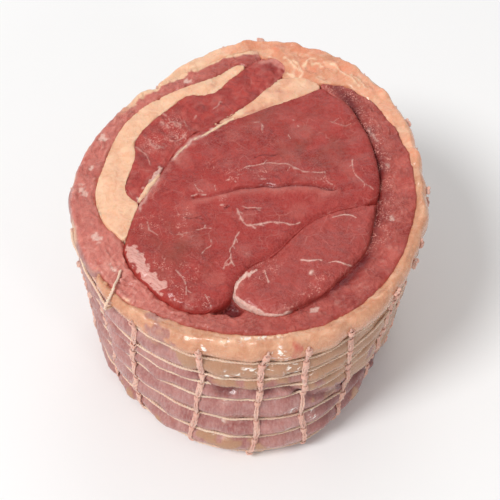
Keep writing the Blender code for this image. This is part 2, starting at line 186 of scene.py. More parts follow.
def drawn(spots, lines, wobble, seed):
    """How strongly each point lies on any of some lines, each with its half width."""
    moved = spots.copy()
    moved[:, 0] += wobble * MM * ripples(spots, 5, seed)
    moved[:, 1] += wobble * MM * ripples(spots, 5, seed + 1)
    uneven = np.maximum(1 + 0.45 * ripples(spots, 2.2, seed + 2), 0.3)
    total = np.zeros(len(spots))
    for width, line in lines:
        gap = away_from(moved, curved([Vector(spot) for spot in line], 3))
        total = np.maximum(total, bell(gap, width * uneven))
    return total


def patches_at(spots, places):
    """How strongly each point lies in any of some round patches, each a size and a spot."""
    gaps = [(size, (spots[:, 0] / MM - x) ** 2 + (spots[:, 1] / MM - y) ** 2) for size, x, y in places]
    return sum(np.exp(-gap / size ** 2) for size, gap in gaps)


def twigs(lines, seed):
    """Some veins with short thin branches off their longer runs."""
    draw = np.random.default_rng(seed)
    branches = []
    for width, line in lines:
        for start, end in zip(line, line[1:]):
            start, end = Vector(start), Vector(end)
            if (end - start).length < 4.5:
                continue
            way = (end - start).normalized()
            way.rotate(Matrix.Rotation(draw.choice([-1, 1]) * draw.uniform(0.5, 1.1), 2))
            root = start.lerp(end, draw.uniform(0.15, 0.6))
            middle = root + way * draw.uniform(0.8, 1.6)
            way.rotate(Matrix.Rotation(draw.uniform(-0.5, 0.5), 2))
            branches.append((max(0.7 * width, 0.12), [root, middle, middle + way * draw.uniform(0.6, 1.6)]))
    return lines + branches


def level_with_seam(spots, normals, seam=CORE_BACK_SEAM, proud=0.15):
    """Raise the rounded edge of a piece along a seam, or all round, to meet its neighbour flush."""
    near = 1 - eased(away_from(spots, seam), 2.6 * MM, 5.5 * MM) if seam else 1
    short = np.maximum(top_height(spots[:, 0], spots[:, 1]) + proud * MM - spots[:, 2], 0)
    spots[:, 2] += near * short * (short < 4.5 * MM) * eased(normals[:, 2], 0.05, 0.3)


def placed(name, data):
    """A new object in the scene."""
    thing = bpy.data.objects.new(name, data)
    bpy.context.scene.collection.objects.link(thing)
    return thing


def make_active(piece):
    bpy.ops.object.select_all(action="DESELECT")
    piece.select_set(True)
    bpy.context.view_layer.objects.active = piece


def apply(piece, kind, **settings):
    """Give a piece a modifier and apply it."""
    make_active(piece)
    change = piece.modifiers.new(kind.lower(), kind)
    for setting, value in settings.items():
        setattr(change, setting, value)
    bpy.ops.object.modifier_apply(modifier=change.name)


def finer_top(piece, cuts):
    """Divide the faces of the cut face again, so that they hold veins and grain."""
    count = len(piece.data.polygons)
    centres = np.empty(count * 3)
    ways = np.empty(count * 3)
    piece.data.polygons.foreach_get("center", centres)
    piece.data.polygons.foreach_get("normal", ways)
    centres = centres.reshape(-1, 3)
    high = centres[:, 2] > top_height(centres[:, 0], centres[:, 1]) - 7 * MM
    chosen = high & (ways[2::3] > 0.3)
    make_active(piece)
    bpy.ops.object.mode_set(mode="EDIT")
    bpy.ops.mesh.select_mode(type="FACE")
    bpy.ops.mesh.select_all(action="DESELECT")
    bpy.ops.object.mode_set(mode="OBJECT")
    piece.data.polygons.foreach_set("select", chosen)
    bpy.ops.object.mode_set(mode="EDIT")
    for _ in range(cuts):
        bpy.ops.mesh.subdivide(number_cuts=1)
    bpy.ops.mesh.vertices_smooth(factor=0.5, repeat=3)
    bpy.ops.mesh.select_all(action="DESELECT")
    bpy.ops.object.mode_set(mode="OBJECT")


def fleshed(solid, name, cell, smoothing, cuts):
    """A copy of a cut's solid with fine rounded faces, and its points and the ways they face."""
    piece = placed(name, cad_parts[solid].data.copy())
    piece.data.materials.clear()
    make_active(piece)
    bpy.ops.object.mode_set(mode="EDIT")
    bpy.ops.mesh.select_all(action="SELECT")
    bpy.ops.mesh.remove_doubles(threshold=0.00001)
    bpy.ops.object.mode_set(mode="OBJECT")
    apply(piece, "REMESH", mode="VOXEL", voxel_size=cell * MM)
    apply(piece, "SMOOTH", factor=0.5, iterations=smoothing)
    finer_top(piece, cuts)
    return piece, points_of(piece), normals_of(piece)


def finish_piece(piece, finish, slot, *nodes):
    """Smooth shading, the finish, and the piece's place in the model."""
    piece.data.materials.clear()
    piece.data.materials.append(finish)
    make_active(piece)
    bpy.ops.object.shade_smooth()
    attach(piece, "root")
    if nodes:
        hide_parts(*nodes)


def tint(red, green, blue):
    """A colour from its screen values, 0 to 255."""
    shares = [value / 255 for value in (red, green, blue)]
    return [s / 12.92 if s <= 0.04045 else ((s + 0.055) / 1.055) ** 2.4 for s in shares] + [1.0]


bench = {}


def node(kind):
    """A new node in the material that is on the bench."""
    return bench["tree"].nodes.new("ShaderNode" + kind)


def set_in(socket, value):
    if isinstance(value, bpy.types.NodeSocket):
        socket.id_data.links.new(value, socket)
    else:
        socket.default_value = value


def set_all(shader, values):
    for name, value in values.items():
        set_in(shader.inputs[name], value)


def mixed(share, first, second):
    mix = node("Mix")
    mix.data_type = "RGBA"
    for place, value in ((0, share), (6, first), (7, second)):
        set_in(mix.inputs[place], value)
    return mix.outputs[2]


def worked_out(way, first, second):
    step = node("Math")
    step.operation = way
    set_in(step.inputs[0], first)
    set_in(step.inputs[1], second)
    return step.outputs[0]


def times(first, second):
    return worked_out("MULTIPLY", first, second)


def plus(first, second):
    return worked_out("ADD", first, second)


def glazed(colour, share, strength, shade):
    """A colour with a thin coat of another where a pattern is strong."""
    return mixed(times(share, strength), colour, shade)


def painted(name):
    mark = node("Attribute")
    mark.attribute_name = name
    return mark.outputs["Fac"]


def marked(colour, name, shade):
    """A colour with another where the piece has a painted mark."""
    return mixed(painted(name), colour, shade)


def stretched(value, low, high, to_low=0.0, to_high=1.0):
    """A value's run from low to high, spread over another run."""
    spread = node("MapRange")
    for place, number in enumerate((value, low, high, to_low, to_high)):
        set_in(spread.inputs[place], number)
    return spread.outputs[0]


def own_place(scale=None):
    """Object coordinates, drawn out where a scale is under 1."""
    place = node("TexCoord").outputs["Object"]
    if scale is None:
        return place
    mapping = node("Mapping")
    set_all(mapping, {"Scale": scale, "Vector": place})
    return mapping.outputs[0]


def cloud(place, size, detail=3.0, distortion=0.0, output="Fac"):
    """Soft noise whose forms are of about a size in millimetres."""
    noise = node("TexNoise")
    set_all(noise, {"Vector": place, "Scale": 1 / (size * MM), "Detail": detail, "Distortion": distortion})
    return noise.outputs[output]


def shaken(place, size, reach):
    """A place moved about by noise, so that what reads it runs crooked."""
    push = node("VectorMath")
    push.operation = "MULTIPLY_ADD"
    set_in(push.inputs[0], cloud(place, size, 2.0, output="Color"))
    push.inputs[1].default_value = [2 * reach * MM] * 3
    set_in(push.inputs[2], place)
    return push.outputs[0]


def bundles(place, size):
    """Distance to the walls of small cells, as between bundles of muscle fibre."""
    cells = node("TexVoronoi")
    cells.feature = "DISTANCE_TO_EDGE"
    set_all(cells, {"Vector": place, "Scale": 1 / (size * MM)})
    return cells.outputs["Distance"]


def new_finish(name, roughness, under_skin, reach):
    """A moist material that light sinks into by some millimetres, put on the bench."""
    finish = bpy.data.materials.new(name)
    finish.use_nodes = True
    bench["tree"] = finish.node_tree
    shader = finish.node_tree.nodes["Principled BSDF"]
    set_all(shader, {"Roughness": roughness, "IOR": 1.4, "Subsurface Weight": under_skin,
                     "Subsurface Radius": (1.0, 0.42, 0.3), "Subsurface Scale": reach * MM,
                     "Coat Weight": 0.22, "Coat Roughness": 0.12})
    return finish, shader


def bumped(shader, height, distance):
    """Fine relief of some tenths of a millimetre."""
    bump = node("Bump")
    set_all(bump, {"Distance": distance * MM, "Height": height})
    set_in(shader.inputs["Normal"], bump.outputs[0])


def lean_finish(name, deep, mid, bright, grain, relief, roughness=0.42, marks=None):
    """Raw lean: mottled red, a net of paler tissue between fibre bundles, and painted marks."""
    finish, shader = new_finish(name, roughness, 0.16, 1.5)
    place = own_place()
    broad = stretched(cloud(place, 15, 3.0, 0.6), 0.32, 0.68)
    patches = stretched(cloud(place, 3.4, 5.0, 0.9), 0.35, 0.68)
    speckle = stretched(cloud(place, 0.75, 3.0, 0.4), 0.32, 0.7)
    colour = glazed(mixed(broad, deep, mid), patches, 0.5, bright)
    tissue = times(stretched(bundles(shaken(place, 2.2, 1.1), grain), 0.0, 0.2, 1.0, 0.0), speckle)
    colour = glazed(colour, tissue, 0.26, tint(218, 122, 110))
    threads = stretched(bundles(shaken(place, 9, 3), 8), 0.0, 0.028, 1.0, 0.0)
    threads = times(threads, stretched(cloud(place, 8, 2.0), 0.5, 0.66))
    colour = glazed(colour, threads, 0.4, tint(222, 150, 138))
    colour = glazed(colour, speckle, 0.16, deep)
    colour = marked(colour, "pale", tint(226, 154, 140))
    white = times(painted("white"), stretched(speckle, 0, 1, 0.6, 1.0))
    colour = mixed(white, colour, tint(236, 198, 184))
    # The dark mark is painted shade in grooves, crevices and pockets on some pieces, and darker tone of the
    # meat on others.
    colour = marked(colour, "dark", tint(108, 22, 24))
    # Painted highlights: tiny pale specks where the glint-speck mark is painted, for small glints on the
    # moist grain.
    glint_dots = times(painted("grainy"), stretched(cloud(place, 0.6, 2.0), 0.54, 0.62))
    colour = mixed(glint_dots, colour, tint(232, 164, 150))
    fibre = times(cloud(place, grain * 0.6, 4.0, 0.6), 0.8)
    bumped(shader, plus(fibre, times(patches, 0.7)), relief)
    shine = plus(times(broad, 0.14), times(speckle, 0.16))
    set_all(shader, {"Base Color": marks(colour) if marks else colour,
                     "Roughness": plus(shine, roughness - 0.15)})
    return finish


def with_core_marks(colour):
    """Browner patches, and a painted highlight: a pale patch of glare on the moist cut face, broken by fine
    slanted streaks.
    """
    colour = marked(colour, "brown", tint(140, 66, 52))
    turned = node("Mapping")
    turned.vector_type = "TEXTURE"
    set_all(turned, {"Rotation": (0, 0, math.radians(-35)), "Scale": (5, 1, 1), "Vector": own_place()})
    glare_streaks = cloud(turned.outputs[0], 0.5, 2.0, 0.3)
    share = stretched(plus(painted("sheen"), times(glare_streaks, 1.1)), 0.82, 1.25)
    share = times(share, stretched(glare_streaks, 0.32, 0.55, 0.5, 0.9))
    return mixed(share, colour, tint(226, 172, 160))


core_finish = lean_finish("core_lean", tint(138, 34, 32), tint(168, 47, 42), tint(190, 73, 64), 1.1, 0.4,
                          0.34, with_core_marks)

core, spots, normals = fleshed("core_muscle", "core_meat", 1.4, 4, 2)
upward = eased(normals[:, 2], 0.2, 0.7)
furrow_gap = away_from(spots + 0.5 * MM * ripples(spots, 9, 11)[:, None], FURROW)
front_lip = away_from(spots + (0, 2.4 * MM, 0), FURROW)
drop = 1.5 * bell(furrow_gap, 0.9) - 0.55 * bell(front_lip, 2.2)
drop += 0.45 * bell(away_from(spots, CORE_CREASE), 1.6)
height = 0.42 * ripples(spots, 17, 5) + 0.14 * ripples(spots, 5, 6) + 0.05 * ripples(spots, 1.6, 7)
white = 0.8 * drawn(spots, twigs(CORE_VEINS, 20), 0.4, 21)
white = np.maximum(white, 0.75 * drawn(spots, [(0.7, INNER_SEAM_FAT)], 0.4, 25))
white = np.maximum(white, 0.5 * drawn(spots, [(0.7, SLIVER_FAT)], 0.4, 25))
# Painted highlight: a thin pale line along the front rim.
white = np.maximum(white, 0.5 * drawn(spots, [(0.45, CORE_FRONT_HIGHLIGHT)], 0.3, 27))
# Painted highlight: the pale glare patch on the core's left slope.
sheen = eased(drawn(spots, CORE_SHEEN, 0.7, 31), 0.1, 0.8)
brown = patches_at(spots, CORE_BROWN) * (0.3 + 0.25 * ripples(spots, 8, 36))
pale = 0.2 * drawn(spots, CORE_PALE, 0.7, 31) + 0.2 * bell(front_lip, 1.8)
pale += 0.12 * eased(ripples(spots, 9, 33), 0.2, 1.2)
# Painted shade: the furrow, towards its right, and the small nicks are painted dark where shade falls in
# them.
dark = 0.8 * bell(furrow_gap, 0.55) * eased(spots[:, 0], -20 * MM, 6 * MM)
dark = np.maximum(dark, 0.75 * drawn(spots, CORE_NICKS, 0.4, 35))
spots += normals * SWELL
level_with_seam(spots, normals)
level_with_seam(spots, normals, FLAP_SEAM, 1.5)
nicks = drawn(spots, CORE_NICKS, 0.4, 35)
spots[:, 2] += upward * (height - drop + 0.1 * white - 0.5 * nicks) * MM
set_points(core, spots)
grainy = 0.8 * patches_at(spots, CORE_GLINT_SPECKS) * eased(ripples(spots, 3, 37), -0.3, 0.6)
paint(core, white=white * upward, pale=pale * upward, dark=dark, sheen=sheen * upward,
      grainy=grainy * upward, brown=brown)
finish_piece(core, core_finish, "lean_core", "core_muscle")

# Flap: a smaller lean muscle that lies against the core's front right, with a white silverskin
# edge where it tapers at the front.
FLAP_EDGE = [(-3.6, -50), (-5.4, -53.5), (-5, -57), (-2.4, -60.2), (3, -62.6), (8, -63.6), (14, -63.4)]
FLAP_VEINS_AND_GLINT = [
    (0.24, [(6.5, -44.5), (7.6, -49.4)]), (0.2, [(33.1, -19.8), (39.4, -19), (41.9, -20.3)]),
    (0.26, [(30.9, -41.4), (39.6, -41.5)]), (0.22, [(20.3, -39.9), (28.3, -40.9)]),
    # The broad first mark here, at the front tip, is the white end of the silverskin with a painted glint on
    # it.
    (1.1, [(14.6, -63), (15.6, -62.4)]), (0.6, [(23.6, -45.5), (24.2, -45.1)]),
]
# Patches of painted glint specks, each a size and a spot.
FLAP_GLINT_SPECKS = [(4, 1.2, -47.4), (5, 8, -43), (3, 15.6, -61), (4, 21.9, -58), (5, 28, -51)]
SILVERSKIN = [
    (0.9, [(0.6, -46.3), (3, -44.7)]), (0.5, [(-0.4, -46.8), (-2.4, -48.4), (-3.9, -50.4), (-5.4, -53.5)]),
]

flap, spots, normals = fleshed("flap_muscle", "flap_meat", 1.3, 4, 2)
upward = eased(normals[:, 2], 0.2, 0.7)
white = drawn(spots, FLAP_VEINS_AND_GLINT, 0.3, 41)
pale = 0.3 * drawn(spots, [(1.8, FLAP_EDGE)], 0.5, 45)
height = 0.4 * ripples(spots, 13, 46) + 0.14 * ripples(spots, 4, 47)
edge_gap = away_from(spots, FLAP_EDGE)
tip = 1 - eased(edge_gap, 5 * MM, 14 * MM)
below = top_height(spots[:, 0], spots[:, 1]) - spots[:, 2]
silverskin = eased(drawn(spots, SILVERSKIN, 0.2, 48), 0.3, 0.6) * (below < 8 * MM)
thin_end = 0.3 * eased(spots[:, 0], 2 * MM, 12 * MM)
rim = 1 - eased(normals[:, 2] + 0.04 * ripples(spots, 3, 49) + thin_end, 0.62, 0.72)
rim *= (1 - eased(edge_gap, 2.5 * MM, 4.0 * MM)) * (below < 5.5 * MM)
spots += normals * SWELL
level_with_seam(spots, normals, FLAP_SEAM, 1.2)
spots[:, 2] += (upward * (height + 0.15 * white) + 1.1 * tip * (below < 5 * MM)) * MM
set_points(flap, spots)
grainy = 0.8 * patches_at(spots, FLAP_GLINT_SPECKS) * eased(ripples(spots, 3, 50), -0.3, 0.6)
paint(flap, white=np.max([white * upward, silverskin, rim], axis=0), pale=pale * upward + 0.07,
      grainy=grainy * upward)
finish_piece(flap, core_finish, "lean_core", "flap_muscle")

# Inner strip: a dark lean strip between the core and the crescent of fat, with curved pale
# streaks, painted glints, and a thin white seam along the core.
INNER_SLIVER = [(-43.2, -10), (-41.6, -7), (-39.6, -3.2), (-36.4, 2.2), (-34.8, 5.6)]
# Spots of the glints, each painted as a short pale raised arc: painted highlights on the moist surface.
INNER_GLINTS = [
    (-35.8, 30.2), (-33.4, 28.6), (-31, 30.4), (-28.6, 28.9), (-26.4, 30), (-40.9, 21.2), (-38.8, 18.8),
    (-36.8, 17.2), (-34.2, 17.8), (-29.5, 23.3), (-27, 22.7),
]
INNER_VEINS_AND_GLINTS = [
    *((0.4, [(x, y + 0.7), (x + 0.7, y), (x + 0.9, y - 0.9)]) for x, y in INNER_GLINTS),
    (0.6, [(-21.7, 33.9), (-22.6, 32.9)]), (0.35, [(-28.5, 29.8), (-30.6, 31.4), (-33.3, 30.7)]),
    (0.35, [(-32.3, 21), (-28.5, 21), (-25.1, 24.3)]), (0.32, [(-39.6, 19.1), (-37, 16), (-34.8, 16.4)]),
    (0.26, [(-35.1, 36.2), (-32.3, 31.3)]), (0.32, [(-45.3, 17.2), (-42, 13.8), (-39.1, 8.5)]),
    (0.26, [(-14, 37), (-11.2, 41.6)]),
]
# Patches of painted glint specks, each a size and a spot.
INNER_GLINT_SPECKS = [(5, -31, 30), (5, -38.7, 19.6), (4, -28, 23)]
INNER_HEAD = [(-2, 62), (7, 64.5), (12.5, 64.8), (16.6, 60.5), (16.8, 54), (10, 46)]
CRESCENT_SIDE = [(-48, -14), (-48.5, 4), (-44, 17), (-36, 32), (-20, 46), (-8, 54), (0, 61)]
inner_finish = lean_finish("inner_lean", tint(148, 40, 37), tint(177, 56, 50), tint(199, 83, 71), 1.0, 0.5)

inner, spots, normals = fleshed("inner_muscle", "inner_meat", 1.2, 3, 2)
upward = eased(normals[:, 2], 0.2, 0.7)
white = np.maximum(0.5 * drawn(spots, INNER_VEINS_AND_GLINTS, 0.5, 51), drawn(spots, [(0.75, INNER_SEAM_FAT)], 0.4, 25))
white = np.maximum(white, 0.9 * eased(drawn(spots, [(1.5, INNER_SLIVER)], 0.4, 25), 0.25, 0.6))
pale = 0.14 * eased(ripples(spots, 5, 56), 0.2, 1.1) + 0.7 * drawn(spots, [(2.4, INNER_HEAD[1:])], 0.8, 55)
height = 0.4 * ripples(spots, 9, 57) + 0.22 * ripples(spots, 3, 58)
spots += normals * 1.3 * SWELL
level_with_seam(spots, normals)
level_with_seam(spots, normals, INNER_HEAD, 0.1)
level_with_seam(spots, normals, CRESCENT_SIDE, 0.1)
spots[:, 2] += upward * (height + 0.4 * white) * MM
set_points(inner, spots)
paint(inner, white=white * upward, pale=pale * upward, dark=0.3 * eased(ripples(spots, 7, 59), 0.1, 1.2),
      grainy=0.7 * patches_at(spots, INNER_GLINT_SPECKS) * upward)
finish_piece(inner, inner_finish, "lean_inner", "inner_muscle")

# Seam fat: a broad crescent down the left and a wedge at the top of the core, firm cream fat
# with fine wrinkles. The wedge has a warmer flush.
CRESCENT_MARKS = [(1.2, [(-15.3, 51.4), (-14.4, 50.6)])]
WEDGE_MARKS = [(0.9, [(-14, 29.8), (-3, 34), (10, 40)]), (1.0, [(12.9, 46.4), (13.7, 46.7)]),
               (0.8, [(8.2, 39.4), (8.9, 39.8)])]
PALE_FAT = tint(248, 206, 174)

seam_finish, shader = new_finish("seam_fat", 0.4, 0.35, 2.6)
place = own_place()
broad = stretched(cloud(place, 11, 3.0, 0.8), 0.3, 0.7)
patches = stretched(cloud(place, 2.6, 4.0, 1.2), 0.35, 0.7)
colour = glazed(mixed(broad, tint(230, 168, 132), tint(240, 190, 155)), patches, 0.6, PALE_FAT)
colour = marked(marked(colour, "pale", PALE_FAT), "dark", tint(196, 116, 96))
folds = cloud(place, 1.8, 4.0, 1.5)
bumped(shader, plus(folds, times(patches, 0.5)), 0.3)
set_all(shader, {"Base Color": colour, "Roughness": stretched(folds, 0.3, 0.7, 0.32, 0.52)})

for solid, name, marks, flush in (("fat_seam", "crescent_fat", CRESCENT_MARKS, 0.0),
                                  ("fat_wedge", "wedge_fat", WEDGE_MARKS, 0.3)):
    fat, spots, normals = fleshed(solid, name, 1.1, 3, 1)
    upward = eased(normals[:, 2], 0.2, 0.7)
    height = 0.45 * ripples(spots, 10, 61) + 0.2 * ripples(spots, 3.4, 62)
    spots += normals * 1.4 * SWELL
    level_with_seam(spots, normals, None, 0.3)
    spots[:, 2] += upward * height * MM
    set_points(fat, spots)
    warm = flush * eased(ripples(spots, 8, 65), -0.9, 0.8)
    flecks = 0.45 * drawn(spots, marks, 0.5, 64)
    paint(fat, pale=0.5 * eased(ripples(spots, 6, 63), 0.2, 1.1), dark=flecks + warm)
    finish_piece(fat, seam_finish, "seam_fat", solid)

# Fat thread: a thin raised line of white fat in the seam between the core and the inner strip,
# thicker where it runs out of the wedge, and a tan sliver of fat further down the same seam.
THREAD_THICKNESS = (1.5, 1.2, 1.0, 0.8, 0.3)
SLIVER_THICKNESS = (1.0, 2.7, 2.6, 1.8, 0.4)


def round_line(name, radius, roundness, capped=True):
    """A curve that makes round threads."""
    line = bpy.data.curves.new(name, "CURVE")
    line.dimensions = "3D"
    line.bevel_depth = radius
    line.bevel_resolution = roundness
    line.use_fill_caps = capped
    return line


def as_mesh(line):
    """The threads of a curve as the mesh of a piece."""
    make_active(placed(line.name, line))
    bpy.ops.object.convert(target="MESH")
    return bpy.context.object


def fuzzed(thread, seed, height=0.07, size=0.7):
    """Make a thread's surface a little uneven, by a height and a size in millimetres."""
    spots = points_of(thread)
    spots += normals_of(thread) * (height * MM * ripples(spots, size, seed))[:, None]
    set_points(thread, spots)
    return spots


thread_line = round_line("seam_thread", 0.5 * MM, 2)
for line, thickness in ((INNER_SEAM_FAT, THREAD_THICKNESS), (INNER_SLIVER, SLIVER_THICKNESS)):
    run = thread_line.splines.new("BEZIER")
    run.bezier_points.add(len(line) - 1)
    for stop, (x, y), thick in zip(run.bezier_points, line, thickness):
        stop.co = (x * MM, y * MM, top_height(x * MM, y * MM) - 0.1 * MM * thick)
        stop.radius = thick
        stop.handle_left_type = stop.handle_right_type = "AUTO"
thread = as_mesh(thread_line)
spots = fuzzed(thread, 66, 0.18, 3)
paint(thread, pale=np.full(len(spots), 0.6), dark=0.3 * eased(ripples(spots, 4, 67), 0, 1))
finish_piece(thread, seam_finish, "seam_fat")

# Wrap: the long thin muscle rolled round the bundle. Its cut edge has a rough curly grain that
# runs round the joint, pinker on the left and darker on the right, with painted glint specks and
# a band of painted shade along the crevice by the core. The net presses into its side. Each ring
# has its middle share of the height, and its lean to the right.
RINGS = [
    (0.075, 0.02), (0.215, 0.05), (0.365, 0), (0.545, 0.05), (0.645, 0), (0.737, 0.015), (0.865, -0.05),
]
RISING_RINGS = {6: 0.056, 5: 0.046}
SEEN_CHAINS = [216, 232, 254.5, 273, 287, 301, 319]
SEEN_TILTS = [3, 6.5, 5, 6.5, -3, -1.5, 0]
HIDDEN_CHAINS = 13
CHAIN_STEP = (SEEN_CHAINS[0] + 360 - SEEN_CHAINS[-1]) / (HIDDEN_CHAINS + 1)
CHAINS = SEEN_CHAINS + [SEEN_CHAINS[-1] + CHAIN_STEP * (turn + 1) for turn in range(HIDDEN_CHAINS)]
WRAP_HEAD = [(-6, 70.5), (0, 72), (6, 70.5), (8.5, 66.5)]
CREVICE = [
    (30, 58), (37.3, 50), (42.7, 40.6), (46.7, 28.4), (50.6, 16.5), (52.7, 5), (51.3, -8.9), (48.5, -27.5),
    (43.6, -39.7), (36.8, -47.7), (29.1, -52.9), (20, -58),
]
POCKET = [(-10.5, -58.2), (-7, -58), (-4.6, -59.6)]
WRAP_BLOBS = [
    (1.1, [(-26.4, 53.7), (-24.8, 54.2)]), (1.3, [(-59.8, 24), (-59.4, 22)]),
    (1.5, [(-66.2, -3), (-65.4, -5.2)]), (1.7, [(-58.8, -26.2), (-57.8, -28.4)]),
    (1, [(56, -19.3), (56.8, -20.6)]), (1, [(24, -61), (25.4, -60.6)]), (0.8, [(55.8, 6.9), (56.6, 5.6)]),
    (0.7, [(50, 26), (53, 20)]), (0.8, [(-63, 8), (-63.4, 6.4)]), (0.7, [(-52, -40), (-50.6, -42)]),
]


def bearings_of(spots):
    return np.degrees(np.arctan2(spots[:, 1], spots[:, 0])) % 360


def outwardness(spots, normals):
    """How far each point of the side faces away from the joint's middle."""
    return (normals[:, :2] * spots[:, :2]).sum(axis=1) / np.hypot(spots[:, 0], spots[:, 1])


def ring_share(number, bearing):
    """A ring's share of the height at a bearing. The top two climb to the rim at the front right."""
    middle, lean = RINGS[number]
    climb = RISING_RINGS.get(number, 0) * band(bearing, 287, 312, 335, 358)
    return middle + lean * np.cos(np.radians(bearing)) + climb


def wander(number, share):
    """How far, in degrees, a chain strays from its bearing at a share of the height."""
    tilt = SEEN_TILTS[number] if number < len(SEEN_TILTS) else 0.0
    tilted = tilt * (share - 0.5) + 0.9 * np.sin(share * 5.1 + number * 2.3)
    return tilted + 0.35 * np.sin(share * 17 + number * 1.1)


def puffed(spots):
    """How many millimetres the side swells out: up in the net's cells, down at rings and chains."""
    bearing = bearings_of(spots)
    height = top_height(spots[:, 0], spots[:, 1])
    share = spots[:, 2] / height
    radius = np.hypot(spots[:, 0], spots[:, 1])
    ring_gap = np.full(len(spots), 1.0)
    for number in range(len(RINGS)):
        ring_gap = np.minimum(ring_gap, np.abs(share - ring_share(number, bearing)) * height)
    chain_gap = np.full(len(spots), 1.0)
    for number, chain in enumerate(CHAINS):
        turn = (bearing - chain - wander(number, share) + 180) % 360 - 180
        chain_gap = np.minimum(chain_gap, np.abs(np.radians(turn)) * radius)
    return 0.85 * (1 - bell(ring_gap, 2.6)) * (1 - 0.55 * bell(chain_gap, 3.2)) - 0.1 * bell(ring_gap, 1.0)


def membrane_colour():
    """Thin silvery skin over purple meat, with fine upright streaks."""
    place = own_place()
    broad = stretched(cloud(place, 13, 3.0, 0.8), 0.3, 0.7)
    patches = stretched(cloud(place, 3.0, 4.0, 1.0), 0.35, 0.7)
    streaks = stretched(cloud(own_place((1, 1, 0.1)), 0.9, 4.0, 0.3), 0.4, 0.72)
    colour = glazed(mixed(broad, tint(150, 88, 84), tint(184, 132, 126)), patches, 0.4, tint(178, 110, 100))
    return glazed(colour, streaks, 0.34, tint(218, 182, 174))


def with_side_skin(colour):
    """The skin and the fat that show on the wrap's side."""
    return marked(marked(colour, "membrane", membrane_colour()), "cream", tint(242, 196, 161))


wrap_finish = lean_finish("wrap_lean", tint(152, 48, 42), tint(190, 78, 68), tint(222, 124, 108), 1.2, 0.5,
                          0.34, with_side_skin)

wrap, spots, normals = fleshed("wrap_muscle", "wrap_meat", 1.15, 5, 1)
upward = eased(normals[:, 2], 0.25, 0.7)
radius = np.hypot(spots[:, 0], spots[:, 1])
outward = eased(outwardness(spots, normals), 0.2, 0.6) * (radius > 58 * MM)
bearing = bearings_of(spots)
curl = 2.2 * ripples(spots, 14, 71) + 0.7 * ripples(spots, 5, 72)
ridges = np.sin((radius / MM + curl) * math.tau / 3.1) * (0.5 + 0.5 * ripples(spots, 7, 73))
height = 0.38 * ridges + 0.35 * ripples(spots, 8, 74) + 0.2 * ripples(spots, 2.6, 75)
leftward = eased(-spots[:, 0], -12 * MM, 50 * MM)
# Painted shade along the crevice by the core's raised right edge, which is also dented.
crevice = bell(away_from(spots, CREVICE), 2.4)
threads = eased(ridges * ripples(spots, 3.4, 76), 0.25, 1.0)
low_left = leftward * (1 - eased(spots[:, 1], -46 * MM, -22 * MM))
crinkles = 1 - eased(np.abs(ripples(spots, 4.2, 104)), 0.05, 0.4)
spots += normals * (SWELL + outward * MM * (puffed(spots) + 0.35 * ripples(spots, 11, 77)))[:, None]
level_with_seam(spots, normals, WRAP_HEAD, 0.1)
relief = height * (0.55 + 0.45 * leftward) + 0.14 * crinkles * leftward + 0.12 * ripples(spots, 1.5, 70)
spots[:, 2] += upward * (relief - 0.9 * crevice) * MM
# The pocket between the core's lip and the flap is dented and painted dark as shade in it.
pocket = np.exp(-(away_from(spots, POCKET) / (3.0 * MM)) ** 4) * upward
spots[:, 2] -= 4.5 * MM * pocket
set_points(wrap, spots)
rim = eased(radius + 0.5 * MM * ripples(spots, 6, 68), 70.6 * MM, 71.2 * MM)
rim *= (1 - eased(np.abs(bearing - 229), 14, 17)) * upward
level = (normals[:, :2] * spots[:, :2]).sum(axis=1) / radius
bare = eased(level, 0.7, 0.9) * (radius > 56 * MM) * band(bearing, 84, 90, 217, 219)
streaky = eased(ripples(spots, 12, 69, (1, 1, 0.5)), 0.0, 0.9) * eased(spots[:, 2], 70 * MM, 84 * MM)
tongue = spots[:, 2] / MIDDLE_HEIGHT + 0.05 * ripples(spots, 7, 95) - (bearing - 118) / 40
cream = 0.75 * bare * np.maximum(streaky, eased(tongue, 0.3, 0.36))
back_rim = eased(level + 0.12 * ripples(spots, 4, 101), 0.12, 0.3) * band(bearing, 84, 90, 136, 150)
back_rim *= (spots[:, 2] > 70 * MM) * (radius > 56 * MM)
pale = leftward * (0.32 + 0.12 * crinkles) + low_left * (0.1 + 0.3 * crinkles) + 0.36 * threads
pale += 0.08 * ridges + 0.7 * drawn(spots, [(3.0, WRAP_HEAD)], 0.8, 80)
# Painted highlights: pale glint specks near the crevice by the core's right edge.
grainy = (1 - leftward) * bell(away_from(spots, CREVICE[:8]), 7) * eased(ripples(spots, 4, 103), -1.0, 0.5)
# Painted shade: darker on the right with random patches, and darkest along the crevice by the core.
shade = (1 - leftward) * (0.1 + 0.24 * eased(ripples(spots, 10, 79), -0.8, 1.0)) + 0.5 * crevice
shade += 0.22 * (1 - leftward) * bell(away_from(spots, CREVICE), 4.5)
blobs = 0.9 * eased(drawn(spots, WRAP_BLOBS, 0.35, 78), 0.3, 0.62) * upward
paint(wrap, membrane=bare, cream=np.max([rim, cream, back_rim], axis=0), white=blobs,
      grainy=0.85 * grainy * upward, pale=pale * upward, dark=shade * upward + 0.95 * pocket)
finish_piece(wrap, wrap_finish, "lean_wrap", "wrap_muscle")

